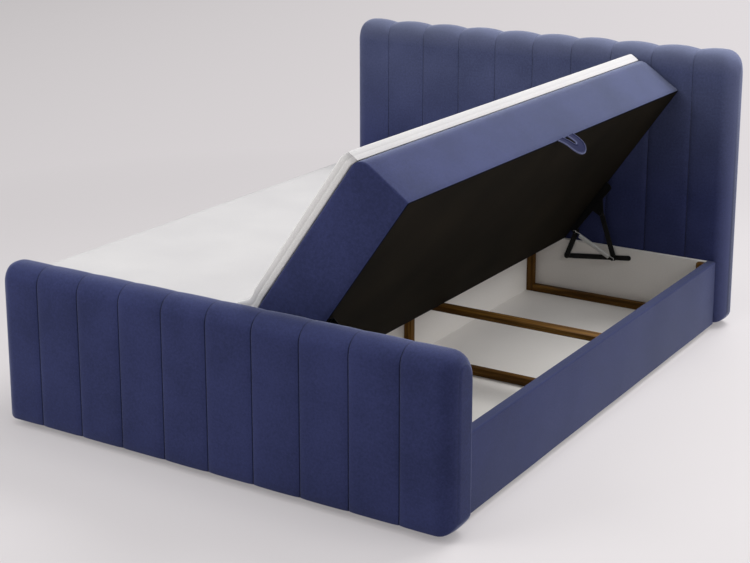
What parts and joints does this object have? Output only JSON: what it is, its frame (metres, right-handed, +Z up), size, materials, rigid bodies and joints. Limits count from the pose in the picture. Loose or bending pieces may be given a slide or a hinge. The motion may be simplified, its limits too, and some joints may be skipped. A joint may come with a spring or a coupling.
{
  "type": "storage box spring bed",
  "caption": "Box spring bed with channelled end boards, storage under mattress lids that lift on sprung hinges, and a topper.",
  "frame": {"origin": "on the floor under the middle of the bed, at the bottom centre of the bounding box", "axes": "+X to the right seen from the foot, +Y from the footboard to the headboard, +Z up"},
  "size_m": [1.6756, 2.25, 1.08],
  "materials": {
    "velvet": "navy blue velvet",
    "topper": "white knitted cover with a light grey border",
    "dust_cover": "black non-woven cloth",
    "lining": "white laminated board",
    "pine": "brown stained pine",
    "plywood": "raw board inside the end boards",
    "hinge": "satin black",
    "spring": "bright zinc"
  },
  "bodies": {
    "root": {"headboard_inner_pad": "velvet", "headboard_core": "plywood", "headboard_outer_pad": "velvet", "footboard_inner_pad": "velvet", "footboard_core": "plywood", "footboard_outer_pad": "velvet", "right_side_board": "lining", "right_side_cover": "velvet", "right_head_wall": "lining", "right_foot_wall": "lining", "right_divider": "lining", "right_floor": "lining", "right_head_frame": "pine", "right_foot_frame": "pine", "right_mid_frame": "pine", "right_head_base_bar": "hinge", "right_foot_base_bar": "hinge", "left_side_board": "lining", "left_side_cover": "velvet", "left_head_wall": "lining", "left_foot_wall": "lining", "left_divider": "lining", "left_floor": "lining", "left_head_frame": "pine", "left_foot_frame": "pine", "left_mid_frame": "pine", "left_head_base_bar": "hinge", "left_foot_base_bar": "hinge"},
    "right_short_links": {"right_head_short_link": "hinge", "right_foot_short_link": "hinge"},
    "right_lid": {"right_mattress_box": "velvet", "right_lid_frame": "pine", "right_dust_cover": "dust_cover", "right_pull_loop": "velvet", "right_head_lid_rail": "hinge", "right_foot_lid_rail": "hinge"},
    "right_long_links": {"right_head_long_link": "hinge", "right_foot_long_link": "hinge"},
    "right_springs": {"right_head_spring": "spring", "right_foot_spring": "spring"},
    "right_spring_hooks": {"right_head_spring_top_hook": "spring", "right_foot_spring_top_hook": "spring"},
    "right_topper_fold": {"right_topper_fold": "topper"},
    "right_topper": {"right_topper": "topper"},
    "left_short_links": {"left_head_short_link": "hinge", "left_foot_short_link": "hinge"},
    "left_lid": {"left_mattress_box": "velvet", "left_lid_frame": "pine", "left_dust_cover": "dust_cover", "left_pull_loop": "velvet", "left_head_lid_rail": "hinge", "left_foot_lid_rail": "hinge"},
    "left_long_links": {"left_head_long_link": "hinge", "left_foot_long_link": "hinge"},
    "left_springs": {"left_head_spring": "spring", "left_foot_spring": "spring"},
    "left_spring_hooks": {"left_head_spring_top_hook": "spring", "left_foot_spring_top_hook": "spring"},
    "left_topper_fold": {"left_topper_fold": "topper"},
    "left_topper": {"left_topper": "topper"}
  },
  "joints": [
    {"name": "right_lid_lift", "type": "hinge", "parent": "root", "child": "right_short_links", "pos_m": [0.18699, 0, 0.203], "axis": [0, -1, 0], "range_deg": [0, 89.22]},
    {"name": "right_lid_turn", "type": "hinge", "parent": "right_short_links", "child": "right_lid", "pos_m": [0.22799, 0, 0.31296], "axis": [0, 1, 0], "range_deg": [0, 144.27]},
    {"name": "right_long_link_turn", "type": "hinge", "parent": "root", "child": "right_long_links", "pos_m": [0.39243, 0, 0.226], "axis": [0, -1, 0], "range_deg": [0, 76.92]},
    {"name": "right_hook_turn", "type": "hinge", "parent": "right_lid", "child": "right_spring_hooks", "pos_m": [0.22799, 0, 0.31296], "axis": [0, -1, 0], "range_deg": [0, 79.38]},
    {"name": "right_spring_stretch", "type": "slide", "parent": "right_spring_hooks", "child": "right_springs", "axis": [0.884, 0, -0.4675], "range_m": [0, 0.1295], "deforming": ["right_head_spring", "right_foot_spring"]},
    {"name": "right_topper_bend", "type": "hinge", "parent": "root", "child": "right_topper_fold", "pos_m": [0.019, 0, 0.4068], "axis": [0, 1, 0], "range_deg": [0, 27.52], "deforming": ["right_topper_fold"]},
    {"name": "right_topper_turn", "type": "hinge", "parent": "right_topper_fold", "child": "right_topper", "pos_m": [0.14141, 0, 0.47052], "axis": [0, 1, 0], "range_deg": [0, 27.52], "deforming": ["right_topper"]},
    {"name": "left_lid_lift", "type": "hinge", "parent": "root", "child": "left_short_links", "pos_m": [-0.18699, 0, 0.203], "axis": [0, -1, 0], "range_deg": [0, 89.22]},
    {"name": "left_lid_turn", "type": "hinge", "parent": "left_short_links", "child": "left_lid", "pos_m": [-0.0776, 0, 0.2455], "axis": [0, 1, 0], "range_deg": [0, 144.27]},
    {"name": "left_long_link_turn", "type": "hinge", "parent": "root", "child": "left_long_links", "pos_m": [-0.39243, 0, 0.226], "axis": [0, -1, 0], "range_deg": [0, 76.92]},
    {"name": "left_hook_turn", "type": "hinge", "parent": "left_lid", "child": "left_spring_hooks", "pos_m": [-0.0776, 0, 0.2455], "axis": [0, -1, 0], "range_deg": [0, 79.38]},
    {"name": "left_spring_stretch", "type": "slide", "parent": "left_spring_hooks", "child": "left_springs", "axis": [0.9981, 0, 0.0618], "range_m": [0, 0.1295], "deforming": ["left_head_spring", "left_foot_spring"]},
    {"name": "left_topper_bend", "type": "hinge", "parent": "root", "child": "left_topper_fold", "pos_m": [-0.069, 0, 0.41903], "axis": [0, 1, 0], "range_deg": [0, 27.52], "deforming": ["left_topper_fold"]},
    {"name": "left_topper_turn", "type": "hinge", "parent": "left_topper_fold", "child": "left_topper", "pos_m": [-0.107, 0, 0.41903], "axis": [0, 1, 0], "range_deg": [0, 27.52], "deforming": ["left_topper"]}
  ],
  "couplings": [
    {"joint": "right_lid_turn", "follows": "right_lid_lift", "ratio": 1.6165},
    {"joint": "right_long_link_turn", "follows": "right_lid_lift", "ratio": 0.86164},
    {"joint": "right_hook_turn", "follows": "right_lid_lift", "ratio": 0.88915},
    {"joint": "right_spring_stretch", "follows": "right_lid_lift", "m_per_rad": 0.083112},
    {"joint": "right_topper_bend", "follows": "right_lid_lift", "ratio": 0.30824},
    {"joint": "right_topper_turn", "follows": "right_lid_lift", "ratio": 0.30824},
    {"joint": "left_lid_turn", "follows": "left_lid_lift", "ratio": 1.6165},
    {"joint": "left_long_link_turn", "follows": "left_lid_lift", "ratio": 0.86164},
    {"joint": "left_hook_turn", "follows": "left_lid_lift", "ratio": 0.88915},
    {"joint": "left_spring_stretch", "follows": "left_lid_lift", "m_per_rad": 0.083112},
    {"joint": "left_topper_bend", "follows": "left_lid_lift", "ratio": 0.30824},
    {"joint": "left_topper_turn", "follows": "left_lid_lift", "ratio": 0.30824}
  ]
}
